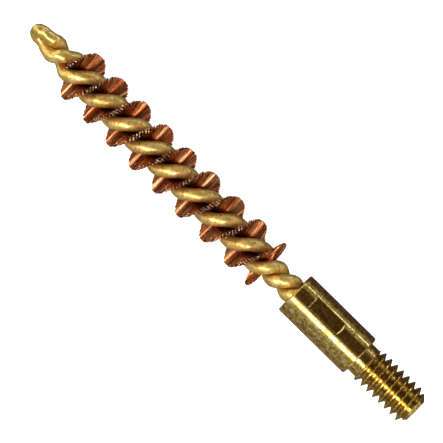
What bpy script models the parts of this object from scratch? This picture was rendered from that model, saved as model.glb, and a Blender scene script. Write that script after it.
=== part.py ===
"""Twisted-in-wire cleaning brush with a threaded end fitting.

A brass core wire is folded double, bronze bristles are laid between its two legs, and the legs are
twisted together so that the bristles fan out as a double spiral. The free ends of the legs sit in the
bore of a turned brass ferrule, which is crimped on them and ends in a screw stud.

The brush's axis is X. The tip points to -X and the stud to +X, and the origin is the centre of the
stud's flat end. Lengths below are in millimetres.
"""

import math

import bpy
import bmesh
import numpy as np

MM = 0.001
GAP = 0.03  # between pieces that touch

# Where things are along the axis
OVERALL_LENGTH = 53.2
STUD_LENGTH = 7.63
FERRULE_LENGTH = 8.93
BRISTLE_START = -47.9
BRISTLE_END = -20.1
SHOULDER_X = -STUD_LENGTH
MOUTH_X = SHOULDER_X - FERRULE_LENGTH

# Core wire: a round wire, folded at the nose and twisted left-handed
WIRE_RADIUS = 0.675
LEG_OFFSET_BARE = 0.70  # from the brush's axis to a leg's centre line
LEG_OFFSET_BRISTLES = 0.96  # the bristles hold the legs apart
TURN_BARE = 90.0  # twist in degrees per mm, a full turn in 4 mm
TURN_BRISTLES = 56.2  # a full turn in 6.4 mm
NOSE_TURN = -62.6  # how far the fold's plane is turned from the XY plane
NOSE_STRAIGHT_X = -52.4  # the twist starts here
NOSE_TWISTED_X = -49.0  # and is at its full rate here
SPREAD_LENGTH = 1.0  # over which the legs' spacing and twist change at each end of the bristles
SPREAD_BEYOND = 0.15  # how far past the bristles the middle of the change in spacing lies
SLOW_BEFORE = 0.5  # and the middle of the change in twist, at the tip's end
SLOW_AFTER = 0.7  # and at the ferrule's end
BOW_RADIUS = 1000.0  # the stem bows very slightly to +Y once it has left the ferrule
WIRE_SIDES_RESOLUTION = 2  # bevel resolution, which gives eight sides
STEP_TURN = 22.5  # degrees of twist between points of the wire's path
STEP_LENGTH = 4.0
PATH_SAMPLES = 4001

# Ferrule and stud, turned from one brass bar
FERRULE_RADIUS = 2.33
FERRULE_CHAMFER = 0.12
BORE_RADIUS = 1.46
BORE_DEPTH = 8.0
BORE_CHAMFER = 0.15
WIRE_DEPTH = 7.3  # how far the legs reach into the bore
NECK_RADIUS = 1.745
NECK_LENGTH = 1.0
THREAD_MAJOR = 2.03
THREAD_MINOR = 1.47
THREAD_PITCH = 25.4 / 32
THREAD_CREST_FLAT = 0.12  # share of the pitch
THREAD_RUNOUT = 0.5
END_CHAMFER = 0.75
TURNED_SIDES = 24
THREAD_ROWS_PER_PITCH = 5

# The crimp's hollow, pressed into the ferrule's side
CRIMP_LENGTH = 4.0
CRIMP_WIDTH = 1.37
CRIMP_DEPTH = 0.26
CRIMP_X = -12.7
CRIMP_TURN = 14.0  # from +Z towards +Y
CRIMP_END_SIDES = 12

# Bristle packs: each holds the bristles along a quarter turn of the legs
BRISTLE_RADIUS = 2.82
PACKS = 18
PACK_RINGS = 5
PACK_TIP_HALF = 0.55
PACK_WIDTH_SAMPLES = 7


def smooth_step(value, low, high):
    """0 below low, 1 above high, and a cubic ease between them."""
    t = np.clip((np.asarray(value, float) - low) / (high - low), 0, 1)
    return t * t * (3 - 2 * t)


def among_bristles(x, before, after):
    """1 from this far before the bristles to this far after them, 0 outside, eased at both ends."""
    half = SPREAD_LENGTH / 2
    start = smooth_step(x, BRISTLE_START - before - half, BRISTLE_START - before + half)
    end = smooth_step(x, BRISTLE_END + after - half, BRISTLE_END + after + half)
    return start * (1 - end)


def turn_rate(x):
    """Degrees of twist per mm along the axis."""
    bare = TURN_BARE * smooth_step(x, NOSE_STRAIGHT_X, NOSE_TWISTED_X)
    return bare + (TURN_BRISTLES - bare) * among_bristles(x, SLOW_BEFORE, SLOW_AFTER)


SAMPLE_X = np.linspace(-OVERALL_LENGTH, 0, PATH_SAMPLES)
SAMPLE_RATE = turn_rate(SAMPLE_X)
SAMPLE_TURN = NOSE_TURN + np.concatenate(
    [[0], np.cumsum((SAMPLE_RATE[1:] + SAMPLE_RATE[:-1]) / 2 * np.diff(SAMPLE_X))]
)


def turn(x):
    """The angle in radians that the legs' plane has turned to at x."""
    return np.radians(np.interp(x, SAMPLE_X, SAMPLE_TURN))


def leg_offset(x):
    """The distance from the axis to a leg's centre line: the bristles hold the legs apart."""
    wider = LEG_OFFSET_BRISTLES - LEG_OFFSET_BARE
    return LEG_OFFSET_BARE + wider * among_bristles(x, SPREAD_BEYOND, SPREAD_BEYOND)


def stem_y(x):
    """The stem's bow: none in the ferrule, then a wide arc, written as its parabola."""
    out = np.clip(MOUTH_X - np.asarray(x, float), 0, None)
    return out**2 / (2 * BOW_RADIUS)


def in_twist(x, across, beside):
    """Points given in the turning frame: across lies along the legs' plane, beside is square to it."""
    angle = turn(x)
    y = stem_y(x) + across * np.cos(angle) + beside * np.sin(angle)
    z = -across * np.sin(angle) + beside * np.cos(angle)
    return np.stack([x + 0 * y, y, z], axis=-1)


def material(name, colour, roughness):
    made = bpy.data.materials.new(name)
    made.use_nodes = True
    shader = made.node_tree.nodes["Principled BSDF"]
    shader.inputs["Base Color"].default_value = (*colour, 1)
    shader.inputs["Metallic"].default_value = 1
    shader.inputs["Roughness"].default_value = roughness
    return made


def add_object(name, data, finish):
    made = bpy.data.objects.new(name, data)
    made.data.materials.append(finish)
    bpy.context.collection.objects.link(made)
    return made


def mesh_object(name, points, faces, finish, sharp=30):
    """A closed mesh in metres from points in millimetres, with its faces turned outwards."""
    mesh = bpy.data.meshes.new(name)
    mesh.from_pydata(np.asarray(points) * MM, [], faces)
    shape = bmesh.new()
    shape.from_mesh(mesh)
    bmesh.ops.recalc_face_normals(shape, faces=shape.faces)
    shape.to_mesh(mesh)
    shape.free()
    mesh.shade_smooth()
    mesh.set_sharp_from_angle(angle=math.radians(sharp))
    return add_object(name, mesh, finish)


def skin(rings):
    """Faces of a tube through rings of equal length, closed by a flat face at each end."""
    count, sides = rings.shape[:2]
    faces = [
        (r * sides + s, r * sides + (s + 1) % sides, (r + 1) * sides + (s + 1) % sides, (r + 1) * sides + s)
        for r in range(count - 1)
        for s in range(sides)
    ]
    ends = [tuple(reversed(range(sides))), tuple(range((count - 1) * sides, count * sides))]
    return rings.reshape(-1, 3), faces + ends


def core_wire(finish):
    """One wire: up a leg from the ferrule to the nose, round the fold, and back down the other leg."""
    fold_x = -OVERALL_LENGTH + WIRE_RADIUS + LEG_OFFSET_BARE
    wire_end = MOUTH_X + WIRE_DEPTH
    x = np.linspace(wire_end, fold_x, PATH_SAMPLES)
    steps = turn_rate(x) / STEP_TURN + 1 / STEP_LENGTH
    cost = np.concatenate([[0], np.cumsum((steps[1:] + steps[:-1]) / 2 * np.abs(np.diff(x)))])
    leg_x = np.interp(np.linspace(0, cost[-1], int(cost[-1]) + 2), cost, x)
    bend = np.linspace(0, np.pi, 9)[1:-1]
    fold = in_twist(
        fold_x - LEG_OFFSET_BARE * np.sin(bend), LEG_OFFSET_BARE * np.cos(bend), 0
    )
    path = np.concatenate(
        [
            in_twist(leg_x, leg_offset(leg_x), 0),
            fold,
            in_twist(leg_x, -leg_offset(leg_x), 0)[::-1],
        ]
    )
    curve = bpy.data.curves.new("core_wire", "CURVE")
    curve.dimensions = "3D"
    curve.bevel_depth = WIRE_RADIUS * MM
    curve.bevel_resolution = WIRE_SIDES_RESOLUTION
    curve.use_fill_caps = True
    spline = curve.splines.new("POLY")
    spline.points.add(len(path) - 1)
    spline.points.foreach_set("co", np.column_stack([path * MM, np.ones(len(path))]).ravel())
    spline.use_smooth = True
    return add_object("core_wire", curve, finish)


def thread_radius(x, angle):
    """Right-handed 60 degree thread: a ridge that moves one pitch along the axis for each turn."""
    along = (x / THREAD_PITCH - angle / (2 * np.pi)) % 1
    ridge = 1 - np.abs(2 * along - 1)
    flat = THREAD_CREST_FLAT
    ridge = np.clip((ridge - flat) / (1 - 2 * flat), 0, 1)
    ridge = ridge * smooth_step(x, SHOULDER_X + NECK_LENGTH, SHOULDER_X + NECK_LENGTH + THREAD_RUNOUT)
    radius = THREAD_MINOR + (THREAD_MAJOR - THREAD_MINOR) * ridge
    return np.minimum(radius, THREAD_MAJOR - END_CHAMFER - x)


def ferrule(finish, cutter_finish):
    """Sleeve with a blind bore, shoulder, relief neck and threaded stud, turned about X."""
    angle = np.linspace(0, 2 * np.pi, TURNED_SIDES, endpoint=False)
    bore_end = MOUTH_X + BORE_DEPTH
    thread_start = SHOULDER_X + NECK_LENGTH
    plain = [
        (bore_end, BORE_RADIUS),
        (MOUTH_X + BORE_CHAMFER, BORE_RADIUS),
        (MOUTH_X, BORE_RADIUS + BORE_CHAMFER),
        (MOUTH_X, FERRULE_RADIUS - FERRULE_CHAMFER),
        (MOUTH_X + FERRULE_CHAMFER, FERRULE_RADIUS),
        (SHOULDER_X - FERRULE_CHAMFER, FERRULE_RADIUS),
        (SHOULDER_X, FERRULE_RADIUS - FERRULE_CHAMFER),
        (SHOULDER_X, NECK_RADIUS),
        (thread_start - THREAD_PITCH / THREAD_ROWS_PER_PITCH, NECK_RADIUS),
    ]
    rows = round((0 - thread_start) / THREAD_PITCH * THREAD_ROWS_PER_PITCH)
    thread_x = np.linspace(thread_start, 0, rows + 1)
    x = np.concatenate([[p[0] for p in plain], thread_x])[:, None] + 0 * angle
    radius = np.concatenate(
        [
            np.array([p[1] for p in plain])[:, None] + 0 * angle,
            thread_radius(thread_x[:, None], angle),
        ]
    )
    rings = np.stack([x, radius * np.cos(angle), radius * np.sin(angle)], axis=-1)
    made = mesh_object("ferrule", *skin(rings), finish)

    half = CRIMP_LENGTH / 2 - CRIMP_WIDTH / 2
    sweep = np.linspace(-np.pi / 2, np.pi / 2, CRIMP_END_SIDES // 2 + 1)
    outline_x = np.concatenate([half + CRIMP_WIDTH / 2 * np.cos(sweep), -half - CRIMP_WIDTH / 2 * np.cos(sweep)])
    outline_y = np.concatenate([CRIMP_WIDTH / 2 * np.sin(sweep), -CRIMP_WIDTH / 2 * np.sin(sweep)])
    heights = [FERRULE_RADIUS - CRIMP_DEPTH, FERRULE_RADIUS + CRIMP_DEPTH]
    block = np.stack([np.stack([outline_x, outline_y, 0 * outline_x + z], axis=-1) for z in heights])
    cutter = mesh_object("crimp_tool", *skin(block), cutter_finish)
    cutter.location = (CRIMP_X * MM, 0, 0)
    cutter.rotation_euler = (-math.radians(CRIMP_TURN), 0, 0)
    cutter.hide_render = True
    cutter.display_type = "WIRE"
    crimp = made.modifiers.new("crimp", "BOOLEAN")
    crimp.object = cutter
    crimp.operation = "DIFFERENCE"
    return made


def bristle_pack(number, finish):
    """The bristles along one quarter turn: a twisted slab, thin between the legs, fanned at its tips."""
    length = (BRISTLE_END - BRISTLE_START) / PACKS
    start = BRISTLE_START + (number - 1) * length
    x = np.linspace(start + GAP / 2, start + length - GAP / 2, PACK_RINGS)[:, None]
    beside = np.linspace(-BRISTLE_RADIUS, BRISTLE_RADIUS, PACK_WIDTH_SAMPLES)
    held = leg_offset(x) - WIRE_RADIUS - GAP
    half = held + (PACK_TIP_HALF - held) * (beside / BRISTLE_RADIUS) ** 2
    across = np.concatenate([half, -half[:, ::-1]], axis=1)
    return mesh_object(
        f"bristle_pack_{number:02d}",
        *skin(in_twist(x, across, np.concatenate([beside, beside[::-1]]))),
        finish,
    )


for old in list(bpy.data.objects):
    bpy.data.objects.remove(old)

wire_brass = material("wire_brass", (0.55, 0.40, 0.12), 0.3)
turned_brass = material("turned_brass", (0.60, 0.44, 0.14), 0.2)
bristle_bronze = material("bristle_bronze", (0.48, 0.22, 0.09), 0.35)

core_wire(wire_brass)
ferrule(turned_brass, turned_brass)
for pack_number in range(1, PACKS + 1):
    bristle_pack(pack_number, bristle_bronze)
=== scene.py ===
"""Twisted-in-wire cleaning brush, dressed in the order in which it is put together.

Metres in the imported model's frame: the brush lies along X with its tip at -X, the stud points to +X, and
the origin is the centre of the stud's flat end. Sizes named in millimetres are scaled by MM.
"""
import bpy
import numpy as np
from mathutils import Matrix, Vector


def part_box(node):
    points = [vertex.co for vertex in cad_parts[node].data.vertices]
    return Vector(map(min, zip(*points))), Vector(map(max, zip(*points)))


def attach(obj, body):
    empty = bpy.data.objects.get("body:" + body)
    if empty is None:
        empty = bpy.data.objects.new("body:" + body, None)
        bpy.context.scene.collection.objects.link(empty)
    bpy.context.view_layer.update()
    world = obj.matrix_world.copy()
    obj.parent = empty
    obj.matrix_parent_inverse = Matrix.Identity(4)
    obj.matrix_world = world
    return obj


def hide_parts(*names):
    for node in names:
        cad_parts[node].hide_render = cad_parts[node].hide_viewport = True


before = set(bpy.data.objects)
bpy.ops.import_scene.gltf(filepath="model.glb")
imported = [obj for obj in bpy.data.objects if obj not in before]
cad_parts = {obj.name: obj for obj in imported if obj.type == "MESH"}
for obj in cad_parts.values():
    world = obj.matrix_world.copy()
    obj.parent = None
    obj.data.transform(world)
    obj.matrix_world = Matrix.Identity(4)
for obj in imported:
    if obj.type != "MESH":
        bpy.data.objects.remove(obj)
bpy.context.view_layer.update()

# Camera. It looks straight down from far off with a long lens, so that nothing tapers, and it is turned
# so that the tip points to the upper left corner and the stud to the lower right.
MM = 0.001
CAMERA_HEIGHT = 450 * MM
VIEW_WIDTH = 43.4 * MM
CAMERA_TURN = np.radians(44.45)
CAMERA_ASIDE = (0.05 * MM, -0.06 * MM)  # along and across, from the middle of the brush's axis
tip_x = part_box("core_wire")[0].x
stud_end_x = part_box("ferrule")[1].x
camera = bpy.data.objects.new("camera", bpy.data.cameras.new("camera"))
camera.data.lens = camera.data.sensor_width * CAMERA_HEIGHT / VIEW_WIDTH
camera.location = ((tip_x + stud_end_x) / 2 + CAMERA_ASIDE[0], CAMERA_ASIDE[1], CAMERA_HEIGHT)
camera.rotation_euler = (0, 0, CAMERA_TURN)
bpy.context.collection.objects.link(camera)
bpy.context.scene.camera = camera

# Core wire. One soft brass wire, folded double over a hook and twisted left-handed on itself. The fold is
# the blunt nose, the bristles hold the legs apart, and the free ends are crimped in the ferrule.
WIRE_RADIUS = 0.685
LEG_OFFSET_BARE = 0.70
LEG_OFFSET_BRISTLES = 0.96
TURN_BARE = 90.0  # degrees of twist per millimetre
TURN_BRISTLES = 56.2
TURN_SLACK = 3.6  # the twist is this much slower in the last part of the bristles
SLACK_FROM = 0.5  # share of the bristles' length where the twist starts to slow down
SLACK_FULL = 0.7
NOSE_TURN = -62.6
NOSE_STRAIGHT = 0.8  # the twist starts this far from the tip
NOSE_TWISTED = 4.2  # and is at its full rate here
TURN_SAMPLES = 4001
SPREAD_EASE = 1.0  # over this length the legs' spacing and twist change, at each end of the bristles
BOW_RADIUS = 1000.0  # the stem's very slight bow towards +Y, out of the ferrule
WIRE_IN_FERRULE = 2.0
WIRE_SIDES = 36
WIRE_STEPS = 760
FOLD_STEPS = 44
DENT_DEPTH = 0.022
DENT_SPACING = 1.6
DENT_BULGE = 0.5  # the wire bulges out between its dents by at most this share of their depth
NOSE_DENT_DEPTH = 0.065  # the bare nose is knocked about more than the rest
FINE_DENT_DEPTH = 0.005
FINE_DENT_SPACING = 0.7
NOSE_HANDLED = 2.25  # the nose is fully knocked about and rubbed clean this far from the tip
NOSE_UNHANDLED = 6.75  # and this far from the tip it is like the rest
# share by which the painted shade between the legs and the partly painted bristle reflection are weaker at
# the nose
NOSE_LESS_PAINTED_SHADE = 0.5
PINCH_DEPTH = 0.10  # the mark of the hook that held the fold while the legs were twisted
PINCH_FROM_TIP = 0.95
PINCH_WIDTH = 0.28
SLOW_BEFORE = 0.5  # the twist slows down this far before the bristles
SLOW_AFTER = -0.45  # and is fast again this far after them, which is a little before their end
SPREAD_BEYOND = 0.15  # the legs are held apart a little beyond the bristles
SHARP_ANGLE = np.radians(50)  # edges that bend more than this are not shaded smooth

nose = tip_x / MM
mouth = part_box("ferrule")[0].x / MM
bristle_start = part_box("bristle_pack_01")[0].x / MM
bristle_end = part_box("bristle_pack_18")[1].x / MM


def ease(value, low, high):
    """0 below low, 1 above high, and 3t^2 - 2t^3 between them."""
    t = np.clip((value - low) / (high - low), 0, 1)
    return t * t * (3 - 2 * t)


def among_bristles(x, before, after):
    """1 from this far before the bristles to this far after them, 0 outside, eased at both ends."""
    half = SPREAD_EASE / 2
    start = ease(x, bristle_start - before - half, bristle_start - before + half)
    return start * (1 - ease(x, bristle_end + after - half, bristle_end + after + half))


turn_x = np.linspace(nose, 0, TURN_SAMPLES)
turn_bare = TURN_BARE * ease(turn_x, nose + NOSE_STRAIGHT, nose + NOSE_TWISTED)
bristle_share = (turn_x - bristle_start) / (bristle_end - bristle_start)
turn_bristles = TURN_BRISTLES - TURN_SLACK * ease(bristle_share, SLACK_FROM, SLACK_FULL)
turn_rate = turn_bare + (turn_bristles - turn_bare) * among_bristles(turn_x, SLOW_BEFORE, SLOW_AFTER)
turn_sum = np.cumsum((turn_rate[1:] + turn_rate[:-1]) / 2 * np.diff(turn_x))
turn_angle = np.radians(NOSE_TURN + np.concatenate([[0], turn_sum]))


def in_twist(x, across, beside):
    """Points of the turning frame: x along the stem, across in the legs' plane, beside square to it.

    The frame turns about the stem by the summed rate of twist, and the stem leaves the ferrule's axis
    along a wide arc: the distance from the mouth, squared, over twice the arc's radius.
    """
    angle = np.interp(x, turn_x, turn_angle)
    stem_y = np.clip(mouth - x, 0, None) ** 2 / (2 * BOW_RADIUS)
    y = stem_y + across * np.cos(angle) + beside * np.sin(angle)
    z = beside * np.cos(angle) - across * np.sin(angle)
    return np.stack(np.broadcast_arrays(x, y, z), axis=-1)


def leg_offset(x):
    """Distance from the stem's middle to a leg's centre line: the bristles hold the legs apart."""
    spread = among_bristles(x, SPREAD_BEYOND, SPREAD_BEYOND)
    return LEG_OFFSET_BARE + (LEG_OFFSET_BRISTLES - LEG_OFFSET_BARE) * spread


def unit(vectors):
    """The vectors, each over its own length."""
    return vectors / np.linalg.norm(vectors, axis=-1, keepdims=True)


def swept(path, side, radius, sides):
    """A round tube: circle points radius * (cos a * n + sin a * b) about each point of the path.

    n is the side vector made square to the path's direction t, and b is t x n.
    """
    t = unit(np.gradient(path, axis=-2))
    n = unit(side - (side * t).sum(-1, keepdims=True) * t)
    b = np.cross(t, n)
    a = np.linspace(0, 2 * np.pi, sides, endpoint=False)[:, None]
    return path[..., None, :] + radius * (np.cos(a) * n[..., None, :] + np.sin(a) * b[..., None, :])


def ripple(points, seed, wavelength, waves=14):
    """A smooth bumpy field of about -1 to 1.

    It is the sum of sine waves in seeded random directions, over the root of their number.
    """
    random = np.random.default_rng(seed)
    direction = unit(random.normal(size=(waves, 3)))
    rate = 2 * np.pi / (wavelength * random.uniform(0.6, 1.6, waves))
    phase = random.uniform(0, 2 * np.pi, waves)
    return np.sin(points @ direction.T * rate + phase).sum(-1) / np.sqrt(waves)


def tube_faces(tubes, rings, sides):
    """Quads round and along each tube, and one flat face at each of its ends, as (loops, loop totals)."""
    ring, side = np.meshgrid(np.arange(rings - 1), np.arange(sides), indexing="ij")
    corner = ring * sides + side
    beside = ring * sides + (side + 1) % sides
    quads = np.stack([corner, beside, beside + sides, corner + sides], axis=-1).reshape(-1)
    first = np.arange(sides)[::-1]
    last = (rings - 1) * sides + np.arange(sides)
    one = np.concatenate([quads, first, last])
    loops = (one + np.arange(tubes)[:, None] * rings * sides).reshape(-1)
    totals = np.tile(np.concatenate([np.full((rings - 1) * sides, 4), [sides, sides]]), tubes)
    return loops, totals


def mesh_piece(name, points, loops, totals, values=None):
    """A smooth-shaded piece from points in millimetres, flat lists of face corners and point values."""
    mesh = bpy.data.meshes.new(name)
    points = points.reshape(-1, 3) * MM
    mesh.vertices.add(len(points))
    mesh.vertices.foreach_set("co", points.astype(np.float32).reshape(-1))
    mesh.loops.add(len(loops))
    mesh.loops.foreach_set("vertex_index", loops.astype(np.int32))
    mesh.polygons.add(len(totals))
    starts = np.concatenate([[0], np.cumsum(totals)[:-1]])
    mesh.polygons.foreach_set("loop_start", starts.astype(np.int32))
    mesh.update(calc_edges=True)
    mesh.validate()
    for label, numbers in (values or {}).items():
        made = mesh.attributes.new(label, "FLOAT", "POINT")
        made.data.foreach_set("value", numbers.astype(np.float32).reshape(-1))
    mesh.shade_smooth()
    mesh.set_sharp_from_angle(angle=SHARP_ANGLE)
    piece = bpy.data.objects.new(name, mesh)
    bpy.context.collection.objects.link(piece)
    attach(piece, "root")
    return piece


class Shade:
    """A socket in a material's tree. Arithmetic on it adds Math nodes, and add() adds any other node."""

    def __init__(self, tree, socket=None):
        self.tree, self.socket = tree, socket

    def add(self, kind, settings=None, inputs=None, output=0):
        """Adds a node of this type: its settings first, then its inputs' values or links."""
        node = self.tree.nodes.new(kind)
        for label, value in (settings or {}).items():
            setattr(node, label, value)
        for label, value in (inputs or {}).items():
            if isinstance(value, Shade):
                self.tree.links.new(value.socket, node.inputs[label])
            else:
                node.inputs[label].default_value = value
        return Shade(self.tree, node.outputs[output])

    def math(self, operation, *values):
        return self.add("ShaderNodeMath", {"operation": operation}, dict(enumerate(values)))

    def __add__(self, other):
        return self.math("ADD", self, other)

    def __radd__(self, other):
        return self.math("ADD", other, self)

    def __sub__(self, other):
        return self.math("SUBTRACT", self, other)

    def __rsub__(self, other):
        return self.math("SUBTRACT", other, self)

    def __mul__(self, other):
        return self.math("MULTIPLY", self, other)

    def __rmul__(self, other):
        return self.math("MULTIPLY", other, self)

    def step(self, low, high):
        """0 below low, 1 above high, smooth between them."""
        settings = {"interpolation_type": "SMOOTHSTEP"}
        return self.add("ShaderNodeMapRange", settings, {"Value": self, "From Min": low, "From Max": high})

    def mix(self, first, second):
        """A colour from first to second, by this factor."""
        # The Mix node's colour sockets share their names with its other kinds, so they go by number.
        return self.add("ShaderNodeMix", {"data_type": "RGBA"}, {0: self, 6: first, 7: second}, output=2)


def metal(name):
    """A new metal material: its shader node and a Shade to build with."""
    made = bpy.data.materials.new(name)
    made.use_nodes = True
    shader = made.node_tree.nodes["Principled BSDF"]
    shader.inputs["Metallic"].default_value = 1
    return made, shader, Shade(made.node_tree)


def plug(shader, **links):
    """Links or sets the shader's sockets, written with _ for the spaces in their names."""
    for label, value in links.items():
        socket = shader.inputs[label.replace("_", " ")]
        if isinstance(value, Shade):
            value.tree.links.new(value.socket, socket)
        else:
            socket.default_value = value


def noise(shade, scale, detail=4, stretch=(1, 1, 1), rough=0.55):
    """Fractal noise on the piece's own coordinates in millimetres, times the stretch along each axis."""
    coords = shade.add("ShaderNodeTexCoord", output="Object")
    size = [s / MM for s in stretch]
    placed = shade.add("ShaderNodeVectorMath", {"operation": "MULTIPLY"}, {0: coords, 1: size})
    inputs = {"Vector": placed, "Scale": scale, "Detail": detail, "Roughness": rough}
    return shade.add("ShaderNodeTexNoise", {}, inputs)


def bump(shade, height, strength, distance):
    """A normal tilted by this height's slope, at most this many millimetres deep."""
    inputs = {"Height": height, "Strength": strength, "Distance": distance * MM}
    return shade.add("ShaderNodeBump", {}, inputs)


fold_x = nose + WIRE_RADIUS + LEG_OFFSET_BARE
leg_x = np.linspace(mouth + WIRE_IN_FERRULE, fold_x, WIRE_STEPS)
bend = np.linspace(0, np.pi, FOLD_STEPS)[1:-1]
fold_point_x = fold_x - LEG_OFFSET_BARE * np.sin(bend)
path_x = np.concatenate([leg_x, fold_point_x, leg_x[::-1]])
path_across = np.concatenate([leg_offset(leg_x), LEG_OFFSET_BARE * np.cos(bend), -leg_offset(leg_x)[::-1]])
wire_path = in_twist(path_x, path_across, 0)
wire_side = in_twist(path_x, path_across, 1) - wire_path
wire_points = swept(wire_path, wire_side, WIRE_RADIUS, WIRE_SIDES)
wire_out = unit(wire_points - wire_path[:, None, :])
near_nose = 1 - ease(wire_points[..., 0], nose + NOSE_HANDLED, nose + NOSE_UNHANDLED)
dent_depth = DENT_DEPTH + (NOSE_DENT_DEPTH - DENT_DEPTH) * near_nose
dents = dent_depth * np.minimum(ripple(wire_points, seed=3, wavelength=DENT_SPACING), DENT_BULGE)
dents = dents + FINE_DENT_DEPTH * ripple(wire_points, seed=5, wavelength=FINE_DENT_SPACING)
pinch = np.exp(-(((wire_points[..., 0] - nose - PINCH_FROM_TIP) / PINCH_WIDTH) ** 2))
pinch = PINCH_DEPTH * pinch * np.clip(wire_out[..., 2], 0, 1) ** 2
wire_points = wire_points + wire_out * (dents - pinch)[..., None]
stem_middle = in_twist(path_x, 0, 0)
facing = (wire_out * unit(wire_points - stem_middle[:, None, :])).sum(-1)
# inward is 1 on the side of the wire that faces the stem's middle. It masks painted shade in the gaps
# between the legs, and the partly painted bristle reflection on their sides.
core_wire = mesh_piece(
    "core_wire_brass",
    wire_points,
    *tube_faces(1, len(path_x), WIRE_SIDES),
    {"inward": (1 - facing) / 2 * (1 - NOSE_LESS_PAINTED_SHADE * near_nose), "handled": near_nose},
)
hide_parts("core_wire")

wire_finish, wire_shader, wire = metal("drawn_brass_wire")
wire_shader.inputs["Metallic"].default_value = 0.88  # its tarnish film scatters some light
wire_cloud = noise(wire, 0.9, detail=3)
wire_fine = noise(wire, 3.5, detail=3)
wire_inward = wire.add("ShaderNodeAttribute", {"attribute_name": "inward"}, output="Fac")
wire_handled = wire.add("ShaderNodeAttribute", {"attribute_name": "handled"}, output="Fac")
wire_gold = wire_cloud.step(0.35, 0.65).mix((0.66, 0.45, 0.10, 1), (0.96, 0.70, 0.25, 1))
wire_tarnish = wire_fine.step(0.5, 0.66).mix(wire_gold, (0.46, 0.27, 0.04, 1))
# Orange-brown on the sides facing the stem's middle: partly tarnish, partly a painted reflection of the
# copper bristles.
wire_bristle_reflection_and_tarnish = (wire_inward + 0.6 * wire_cloud).step(0.34, 0.6).mix(wire_tarnish, (0.58, 0.25, 0.04, 1))
# Painted shade: dark brown where the two legs touch and light cannot reach.
wire_colour = wire_inward.step(0.34, 0.56).mix(wire_bristle_reflection_and_tarnish, (0.26, 0.09, 0.015, 1))
plug(
    wire_shader,
    Base_Color=wire_colour,
    Roughness=0.31 + 0.16 * wire_fine.step(0.35, 0.7) - 0.12 * wire_handled,
    Coat_Weight=0.6,
    Coat_Roughness=0.22,
    Normal=bump(wire, 0.3 * wire_fine + wire_cloud, 0.45, 0.07),
)
core_wire.data.materials.append(wire_finish)

# Bristles. About 1300 short lengths of springy phosphor-bronze wire, laid side by side between the legs
# before the twist and pinched there by it. They fan out to both sides and are trimmed round.
BRISTLE_WIRE_RADIUS = 0.054
LAYERS = 6  # of bristles between the legs
LAYER_SCATTER = 0.25  # of a layer's thickness
ROOT_SCATTER = 0.2  # of the space between neighbours
BRISTLES_PER_LAYER = 12  # in each pack
BRISTLE_RINGS = 9
CUT_RING = 0.99  # a ring at this share of the reach, close to the end's own, keeps the cut end crisp
BRISTLE_SIDES = 6
TIP_SPREAD = 0.55  # half the fan's thickness at the tips
TRIM_INSIDE = 0.06  # the tips' radius inside the pack's box, whose corners stand out
TRIM_ERROR = 0.014
FREE_FROM = 1.0  # distance from the stem's middle at which a bristle is free of the legs
STRAY = 0.014  # spread of the bristles' slopes
SPLAY_ABOVE = 0.20  # the fan is splayed along the stem on the +Y side
SPLAY_BELOW = -0.07  # and a little closed on the -Y side
SPLAY_LAST = -0.10  # and gathered together near the ferrule
GATHER_BEFORE_END = (3.9, 1.9)  # which starts and is complete this far before the bristles' end
LATE_LEAN = 0.16  # the second last lobe on the +Y side leans to the tip
LEAN_BEFORE_END = (6.5, 4)  # its lean starts and is complete here
UPRIGHT_BEFORE_END = (1.8, 0.8)  # and here it ends again
CUT_SLANT = 0.5  # of the sheared ends
CUT_BACK = 0.05  # the slant takes at most this much off
CUT_OVER = 0.03  # and leaves at most this much on
CUT_DULLING = 1.4  # most cut ends are a little dull, and few are bright
ROOT_SHADE_FULL_TO = 0.8  # distance from the stem's middle up to which a bristle is darkened in full by painted shade
# from this distance on, the painted shade near the roots has faded out
ROOT_SHADE_GONE_FROM = 2.1
GOLDEN_SHARE = 0.618  # of a space, by which each layer lies further along than the one before
LAST_LEAD = 0.68  # the last bristles are bent this far ahead of the twist, in radians
LEAD_BEFORE_END = (1.6, 0.2)  # their bend starts and is complete here
packs = sorted(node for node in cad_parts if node.startswith("bristle_pack"))
pack_low, pack_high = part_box(packs[0])
trim_radius = (pack_high.z - pack_low.z) / 2 / MM - TRIM_INSIDE
random = np.random.default_rng(11)

bristle_finish, bristle_shader, bristle = metal("bristle_bronze")
bristle_tone = bristle.add("ShaderNodeAttribute", {"attribute_name": "tone"}, output="Fac")
bristle_root_shade = bristle.add("ShaderNodeAttribute", {"attribute_name": "root"}, output="Fac")
bristle_cut = bristle.add("ShaderNodeAttribute", {"attribute_name": "cut"}, output="Fac")
bristle_cloud = noise(bristle, 2.5, detail=3)
bristle_brown = bristle_tone.step(0, 0.8).mix((0.18, 0.025, 0.003, 1), (0.88, 0.25, 0.04, 1))
bristle_brown = bristle_tone.step(0.65, 0.9).mix(bristle_brown, (0.98, 0.54, 0.27, 1))
bristle_colour = bristle_cloud.step(0.5, 0.8).mix(bristle_brown, (0.62, 0.25, 0.04, 1))
# Painted shade: the bristles darken towards their roots among the legs.
bristle_colour = bristle_root_shade.mix(bristle_colour, (0.32, 0.07, 0.018, 1))
plug(
    bristle_shader,
    Base_Color=bristle_cut.mix(bristle_colour, (0.98, 0.64, 0.48, 1)),
    Roughness=0.18 + 0.14 * bristle_cloud.step(0.3, 0.7) + 0.24 * bristle_cut,
    Coat_Weight=0.22,
    Coat_Roughness=0.12,
    Coat_IOR=1.8,
)

count = LAYERS * BRISTLES_PER_LAYER
layer, place = np.divmod(np.arange(count), BRISTLES_PER_LAYER)
stagger = layer * GOLDEN_SHARE % 1
ring_places = np.concatenate([[-1], np.linspace(-CUT_RING, CUT_RING, BRISTLE_RINGS - 2), [1]])


def before_end(x, stretch):
    """0 up to the first of these two distances before the bristles' end, and 1 from the second on."""
    return ease(x, bristle_end - stretch[0], bristle_end - stretch[1])


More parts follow.
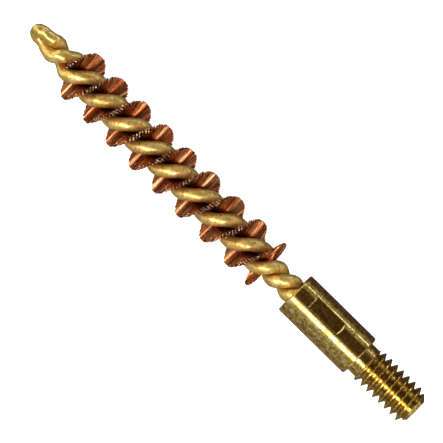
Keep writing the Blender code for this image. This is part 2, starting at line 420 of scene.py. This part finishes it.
for number, pack in enumerate(packs):
    low, high = (corner.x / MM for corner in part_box(pack))
    in_row = place + stagger + random.uniform(0, ROOT_SCATTER, count)
    root_x = low + (high - low) * in_row / BRISTLES_PER_LAYER
    share = (2 * layer + 1 + random.normal(0, LAYER_SCATTER, count)) / LAYERS - 1
    held = leg_offset(root_x) - WIRE_RADIUS
    trim = trim_radius - np.abs(random.normal(0, TRIM_ERROR, (2, count)))
    reach = np.sqrt(trim**2 - (share * TIP_SPREAD) ** 2)
    first_half = np.arange(BRISTLE_RINGS)[:, None] < BRISTLE_RINGS // 2
    along = ring_places[:, None] * np.where(first_half, reach[0], reach[1])
    away = np.maximum(np.abs(along) - FREE_FROM, 0)
    lead = LAST_LEAD * before_end(root_x, LEAD_BEFORE_END)
    across = share * (held + (TIP_SPREAD - held) * (along / trim_radius) ** 2)
    ahead = lead * away / (trim_radius - FREE_FROM)
    across, along = (
        across * np.cos(ahead) + along * np.sin(ahead),
        along * np.cos(ahead) - across * np.sin(ahead),
    )
    stray_x, stray_across = (
        np.where(first_half, *random.normal(0, STRAY, (2, count))) * away for _ in range(2)
    )
    paths = in_twist(np.broadcast_to(root_x, along.shape), across + stray_across, along)
    up, towards = paths[..., 1] / trim_radius, paths[..., 2] / trim_radius
    last = before_end(root_x, GATHER_BEFORE_END)
    splay_above = SPLAY_ABOVE + (SPLAY_LAST - SPLAY_ABOVE) * last
    splay = SPLAY_BELOW * np.clip(-up, 0, 1) - splay_above * np.clip(up, 0, 1)
    leaning = before_end(root_x, LEAN_BEFORE_END) * (1 - before_end(root_x, UPRIGHT_BEFORE_END))
    lean = LATE_LEAN * leaning * np.clip(up, 0, 1)
    paths[..., 0] += stray_x + (splay * towards - lean) * away
    paths = np.moveaxis(paths, 0, 1)
    stem = np.zeros_like(paths)
    stem[..., 0] = 1
    tubes = swept(paths, stem, BRISTLE_WIRE_RADIUS, BRISTLE_SIDES)
    slant = random.normal(0, CUT_SLANT, (2, count, 1, 3))
    for end, inner in ((0, 1), (-1, -2)):
        outward = unit(paths[:, end] - paths[:, inner])[:, None]
        offset = tubes[:, end] - paths[:, end, None]
        sheared = (offset * slant[end]).sum(-1, keepdims=True)
        tubes[:, end] += outward * np.clip(sheared, -CUT_BACK, CUT_OVER)
    flat = np.ones(tubes.shape[:3])
    cut = flat * 0
    cut[:, [0, -1]] = random.uniform(0, 1, (count, 2, 1)) ** CUT_DULLING
    piece = mesh_piece(
        f"bristles_{number + 1:02d}",
        tubes,
        *tube_faces(count, BRISTLE_RINGS, BRISTLE_SIDES),
        {
            "tone": flat * random.uniform(0, 1, count)[:, None, None],
            "cut": cut,
            # root is the painted shade near the stem, full at the roots and fading outwards
            "root": flat * (1 - ease(np.abs(along.T), ROOT_SHADE_FULL_TO, ROOT_SHADE_GONE_FROM))[..., None],
        },
    )
    piece.data.materials.append(bristle_finish)
    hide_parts(pack)

# Ferrule. Turned from brass bar in one piece: a sleeve with a blind bore for the twisted legs, a shoulder,
# a relief neck and a screw stud with a right-hand thread. A punch has crimped its side on the wire.
FERRULE_RADIUS = 2.33
FERRULE_EDGE = 0.12
BORE_RADIUS = 1.46
BORE_SHOWN = 2.2
BORE_EDGE = 0.15
SHOULDER_ROUND = 0.2
STUD_LENGTH = 7.63
SHOULDER_STEPS = 7
NECK_RADIUS = 1.745
NECK_LENGTH = 1.0
NECK_SLOPE = 0.15  # from the neck up to the thread's full radius
EDGE_STEP = 0.02  # a close pair of rings keeps a corner crisp
POLE_RADIUS = 0.001
THREAD_MAJOR = 2.03
THREAD_MINOR = 1.47
THREAD_PITCH = 25.4 / 32
CREST_FLAT = 0.12  # share of the pitch
RUNOUT = 0.35
END_CHAMFER = 0.75
THREAD_STEPS_PER_PITCH = 22
BODY_STEPS = 60
CRIMP_END_STEPS = 26
CRIMP_END_REACH = (-0.45, 0.4)  # the sleeve's rings are close together this far about each end
TURNED_SIDES = 216
CRIMP_MIDDLE = -12.7
CRIMP_LENGTH = 4.0
CRIMP_WIDTH = 1.37
CRIMP_DEPTH = 0.15
CRIMP_WALL = 0.14
CRIMP_END_BOW = 0.12
CRIMP_TURN = np.radians(14)  # towards +Y
shoulder = stud_end_x / MM - STUD_LENGTH
neck_end = shoulder + NECK_LENGTH


def thread(x, angle):
    """Radius of a right-handed thread: a groove of nearly 60 degrees, one pitch further along each turn.

    The die's groove runs out in the neck by lifting, and the bar is turned down to the neck before it.
    """
    along = (x / THREAD_PITCH - angle / (2 * np.pi)) % 1
    ridge = np.clip((1 - np.abs(2 * along - 1) - CREST_FLAT) / (1 - 2 * CREST_FLAT), 0, 1)
    height = THREAD_MAJOR - THREAD_MINOR
    groove = THREAD_MINOR + height * ridge + height * (1 - ease(x, neck_end - RUNOUT, neck_end + RUNOUT))
    bar = NECK_RADIUS + (THREAD_MAJOR - NECK_RADIUS) * ease(x, neck_end, neck_end + NECK_SLOPE)
    return np.minimum(np.minimum(groove, bar), THREAD_MAJOR - END_CHAMFER - x)


def crimp(x, angle):
    """Depth of the punched hollow: a flat floor, sloping walls, and a far end that is bowed outwards."""
    turned = np.mod(angle - (np.pi / 2 - CRIMP_TURN) + np.pi, 2 * np.pi) - np.pi
    arc = FERRULE_RADIUS * turned
    bow = CRIMP_END_BOW * (arc / (CRIMP_WIDTH / 2)) ** 2
    before = x - (CRIMP_MIDDLE - CRIMP_LENGTH / 2)
    after = CRIMP_MIDDLE + CRIMP_LENGTH / 2 - bow - x
    inside = ease(before, 0, CRIMP_WALL) * ease(after, 0, CRIMP_WALL)
    inside = inside * (np.abs(arc) < CRIMP_WIDTH / 2)
    near = np.clip(turned, -0.5, 0.5)  # the floor's formula only holds on the punch's side
    floor = (FERRULE_RADIUS - CRIMP_DEPTH) / np.cos(near)
    return (FERRULE_RADIUS - floor) * inside


angle = np.linspace(0, 2 * np.pi, TURNED_SIDES, endpoint=False)
crimp_ends = CRIMP_MIDDLE + np.array([[-0.5], [0.5]]) * CRIMP_LENGTH
body_x = np.linspace(mouth + FERRULE_EDGE, shoulder - SHOULDER_ROUND, BODY_STEPS)
body_x = np.sort(np.append(body_x, crimp_ends + np.linspace(*CRIMP_END_REACH, CRIMP_END_STEPS)))
round_turn = np.linspace(0, np.pi / 2, SHOULDER_STEPS)[1:]
round_x = shoulder - SHOULDER_ROUND + SHOULDER_ROUND * np.sin(round_turn)
round_radius = FERRULE_RADIUS - SHOULDER_ROUND * (1 - np.cos(round_turn))
outline = (
    [(mouth + BORE_SHOWN, POLE_RADIUS), (mouth + BORE_SHOWN, BORE_RADIUS)]
    + [(mouth + BORE_EDGE, BORE_RADIUS), (mouth, BORE_RADIUS + BORE_EDGE)]
    + [(mouth, FERRULE_RADIUS - FERRULE_EDGE)]
    + [(x, FERRULE_RADIUS) for x in body_x]
    + list(zip(round_x, round_radius))
    + [(shoulder, NECK_RADIUS), (shoulder + EDGE_STEP, NECK_RADIUS), (neck_end - EDGE_STEP, NECK_RADIUS)]
)
outline_x, outline_radius = np.array(outline).T
thread_x = np.linspace(neck_end, 0, round(-neck_end / THREAD_PITCH * THREAD_STEPS_PER_PITCH))
turned_x = np.concatenate([outline_x, thread_x, [0]])[:, None] + 0 * angle
turned_radius = np.concatenate(
    [outline_radius[:, None] + 0 * angle, thread(thread_x[:, None], angle), POLE_RADIUS + 0 * angle[None]]
)
on_sleeve = np.isclose(turned_radius, FERRULE_RADIUS)
turned_radius = turned_radius - on_sleeve * crimp(turned_x, angle)
turned_points = np.stack([turned_x, turned_radius * np.cos(angle), turned_radius * np.sin(angle)], axis=-1)
ferrule = mesh_piece("ferrule_brass", turned_points, *tube_faces(1, len(turned_x), TURNED_SIDES))
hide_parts("ferrule")

turned_finish, turned_shader, turned = metal("turned_brass")
turned_cloud = noise(turned, 1.1, detail=4)
turned_fleck = noise(turned, 3.0, detail=4, rough=0.6)
turned_lines = noise(turned, 1.0, detail=2, stretch=(18, 0.35, 0.35))
turned_gold = turned_cloud.step(0.35, 0.65).mix((0.56, 0.385, 0.06, 1), (0.83, 0.60, 0.19, 1))
turned_speck = turned_fleck.step(0.36, 0.48).mix((0.95, 0.78, 0.38, 1), turned_gold)
turned_colour = turned_fleck.step(0.48, 0.64).mix(turned_speck, (0.34, 0.22, 0.025, 1))
plug(
    turned_shader,
    Base_Color=turned_colour,
    Roughness=0.11 + 0.10 * turned_fleck.step(0.35, 0.7),
    Coat_Weight=0.5,
    Coat_Roughness=0.15,
    Normal=bump(turned, 0.5 * turned_fleck + 0.7 * turned_lines, 0.16, 0.02),
)
ferrule.data.materials.append(turned_finish)

# Studio. A plain white floor just under the brush and a soft dome of light with a dark patch overhead. Two
# strip lights draw the bright line and the thin line along the brass, and a wide lamp fills in softly.
FLOOR_SIZE = 4.0  # metres, as all the studio's sizes
FLOOR_GAP = 0.02 * MM
STRIP_TURN = np.radians(29)
STRIP_WIDTH = 0.085
THIN_STRIP_TURN = np.radians(-72)
THIN_STRIP_WIDTH = 0.010
STRIP_DISTANCE = 300 * MM
STRIP_LENGTH = 0.5
FILL_DISTANCE = 0.6
FILL_SIZE = 0.8
DARK_TURN = np.radians(18)  # the dark patch is turned this far from straight up, towards +Y
floor_z = min(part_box(node)[0].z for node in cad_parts) - FLOOR_GAP
half = FLOOR_SIZE / 2
floor_mesh = bpy.data.meshes.new("floor")
corners = [(-half, -half, floor_z), (half, -half, floor_z), (half, half, floor_z), (-half, half, floor_z)]
floor_mesh.from_pydata(corners, [], [(0, 1, 2, 3)])
floor = bpy.data.objects.new("floor", floor_mesh)
bpy.context.collection.objects.link(floor)
floor.visible_glossy = False
floor_finish = bpy.data.materials.new("white_floor")
floor_finish.use_nodes = True
floor_shader = floor_finish.node_tree.nodes["Principled BSDF"]
plug(floor_shader, Base_Color=(0.92, 0.92, 0.92, 1), Roughness=0.9, Specular_IOR_Level=0.1)
plug(floor_shader, Emission_Color=(1, 1, 1, 1), Emission_Strength=0.5)
floor_mesh.materials.append(floor_finish)


def lamp(name, turn, distance, length, width, watts, glossy=True):
    """An area light in the plane square to the brush, turned from straight up towards -Y, facing it."""
    data = bpy.data.lights.new(name, "AREA")
    data.shape, data.size, data.size_y, data.energy = "RECTANGLE", length, width, watts
    made = bpy.data.objects.new(name, data)
    middle = (tip_x + stud_end_x) / 2
    made.location = (middle, -distance * np.sin(turn), distance * np.cos(turn))
    made.rotation_euler = (turn, 0, 0)
    made.visible_glossy = glossy
    made.visible_camera = False
    bpy.context.collection.objects.link(made)


lamp("strip", STRIP_TURN, STRIP_DISTANCE, STRIP_LENGTH, STRIP_WIDTH, watts=0.62)
lamp("thin_strip", THIN_STRIP_TURN, STRIP_DISTANCE, STRIP_LENGTH, THIN_STRIP_WIDTH, watts=0.06)
lamp("wide_fill", 0, FILL_DISTANCE, FILL_SIZE, FILL_SIZE, watts=9, glossy=False)

world = bpy.data.worlds.new("studio")
bpy.context.scene.world = world
world.use_nodes = True
sky = Shade(world.node_tree)
look = sky.add("ShaderNodeTexCoord")  # on the world its first output is the direction
dark_way = (0, np.sin(DARK_TURN), np.cos(DARK_TURN))
overhead = sky.add("ShaderNodeVectorMath", {"operation": "DOT_PRODUCT"}, {0: look, 1: dark_way}, "Value")
split = {"Vector": look}
along, aside, height = (sky.add("ShaderNodeSeparateXYZ", inputs=split, output=n) for n in range(3))
glow = aside.step(-0.9, -0.5).mix((0.36, 0.35, 0.32, 1), (0.85, 0.82, 0.75, 1))
above = aside.step(-0.3, 0.5).mix(glow, (0.34, 0.33, 0.30, 1))
below = aside.step(-0.3, 0.3).mix((0.26, 0.22, 0.17, 1), (0.09, 0.06, 0.05, 1))
dome = height.step(-0.25, 0.1).mix(below, above)
ends = along.step(-0.5, 0.5).mix((1.3, 1.25, 1.1, 1), (0.62, 0.58, 0.48, 1))
dome = (along * along).step(0.5, 0.8).mix(dome, ends)
dome = overhead.step(0.80, 0.90).mix(dome, (0.075, 0.045, 0.025, 1))
background = world.node_tree.nodes["Background"]
world.node_tree.links.new(dome.socket, background.inputs["Color"])

bpy.context.scene.view_settings.view_transform = "Standard"
